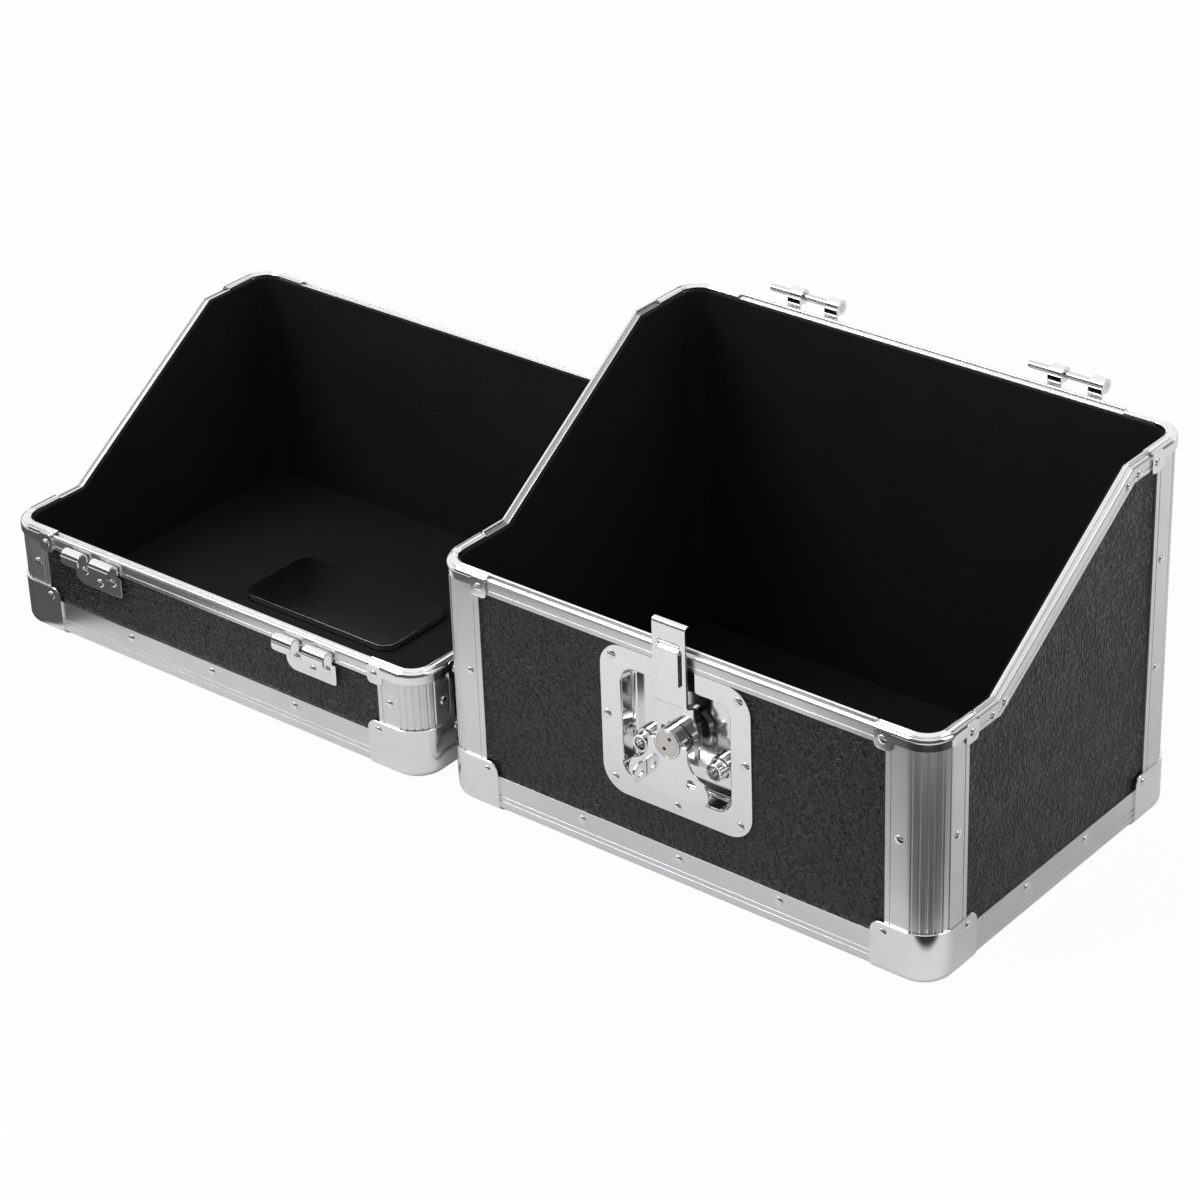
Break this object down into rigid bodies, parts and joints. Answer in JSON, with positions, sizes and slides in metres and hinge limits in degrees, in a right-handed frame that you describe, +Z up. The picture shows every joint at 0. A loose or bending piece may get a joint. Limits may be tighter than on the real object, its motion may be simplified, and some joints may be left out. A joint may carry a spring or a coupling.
{
  "type": "record carrying case",
  "caption": "Record carrying case: a front-loading tub with a sloped rim, butterfly latch and lift-off hinges, and its detached lid standing beside it.",
  "frame": {"origin": "on the floor, at the centre of the footprint of the tub and the lid that stands beside it", "axes": "+X to the tub's right, from the lid to the tub, along the pair's length; +Y to the back, from the latch side to the hinge side of the tub; +Z up"},
  "size_m": [0.7826, 0.2994, 0.2774],
  "materials": {
    "laminated_board": "black textured laminate",
    "lining_foam": "matt black foam lining",
    "post_aluminium": "satin anodised",
    "edge_aluminium": "satin anodised",
    "rim_aluminium": "satin anodised",
    "plated_fitting": "bright plated steel",
    "plated_latch": "bright plated steel",
    "rivet_steel": "bright plated rivet heads",
    "steel_wire": "plated steel",
    "key_plug_brass": "nickel plated brass",
    "grip_rubber": "moulded black rubber"
  },
  "bodies": {
    "tub": {"tub_floor": "laminated_board", "tub_front": "laminated_board", "tub_back": "laminated_board", "tub_left": "laminated_board", "tub_right": "laminated_board", "tub_lining": "lining_foam", "tub_post_front_left": "post_aluminium", "tub_post_front_right": "post_aluminium", "tub_post_back_left": "post_aluminium", "tub_post_back_right": "post_aluminium", "tub_base_front": "edge_aluminium", "tub_base_back": "edge_aluminium", "tub_base_left": "edge_aluminium", "tub_base_right": "edge_aluminium", "tub_rim_front": "rim_aluminium", "tub_rim_back": "rim_aluminium", "tub_rim_left": "rim_aluminium", "tub_rim_right": "rim_aluminium", "tub_rim_caps": "plated_fitting", "tub_ball_corners": "plated_fitting", "tub_rivets": "rivet_steel", "latch_dish": "plated_latch", "latch_bosses": "plated_latch", "tub_hinge_left": "plated_latch", "tub_hinge_right": "plated_latch", "hinge_pins": "steel_wire"},
    "lid": {"lid_top": "laminated_board", "lid_low_side": "laminated_board", "lid_high_side": "laminated_board", "lid_left": "laminated_board", "lid_right": "laminated_board", "lid_lining": "lining_foam", "lid_post_low_left": "post_aluminium", "lid_post_low_right": "post_aluminium", "lid_post_high_left": "post_aluminium", "lid_post_high_right": "post_aluminium", "lid_base_low": "edge_aluminium", "lid_base_high": "edge_aluminium", "lid_base_left": "edge_aluminium", "lid_base_right": "edge_aluminium", "lid_rim_low": "rim_aluminium", "lid_rim_high": "rim_aluminium", "lid_rim_left": "rim_aluminium", "lid_rim_right": "rim_aluminium", "lid_rim_caps": "plated_fitting", "lid_ball_corners": "plated_fitting", "lid_rivets": "rivet_steel", "lid_hinge_left": "plated_latch", "lid_hinge_right": "plated_latch", "lid_keeper": "plated_latch", "handle_dish": "plated_latch"},
    "hook": {"hook_strap": "plated_latch"},
    "latch": {"latch_cam": "steel_wire", "latch_barrel": "plated_latch", "latch_wing": "plated_latch", "padlock_eye": "plated_latch"},
    "plug": {"key_plug": "key_plug_brass"},
    "handle": {"handle_bail": "steel_wire", "handle_grip": "grip_rubber"}
  },
  "joints": [
    {"name": "lid_lift", "type": "slide", "parent": "tub", "child": "lid", "axis": [0, 0, 1], "range_m": [0, 0.32]},
    {"name": "latch_turn", "type": "hinge", "parent": "tub", "child": "latch", "pos_m": [0.19875, -0.1293, 0.1086], "axis": [0, 1, 0], "range_deg": [0, 180]},
    {"name": "hook_slide", "type": "slide", "parent": "tub", "child": "hook", "axis": [0, 0, 1], "range_m": [0, 0.008]},
    {"name": "key_turn", "type": "hinge", "parent": "latch", "child": "plug", "pos_m": [0.19875, -0.1293, 0.1086], "axis": [0, 1, 0], "range_deg": [0, 90]},
    {"name": "handle_swing", "type": "hinge", "parent": "lid", "child": "handle", "pos_m": [-0.19875, 0.0172, 0.0074], "axis": [1, 0, 0], "range_deg": [0, 90], "stiffness_Nm_per_rad": 0.02, "springref_deg": -68.75}
  ],
  "couplings": [
    {"joint": "hook_slide", "follows": "latch_turn", "m_per_rad": 0.0025465}
  ]
}
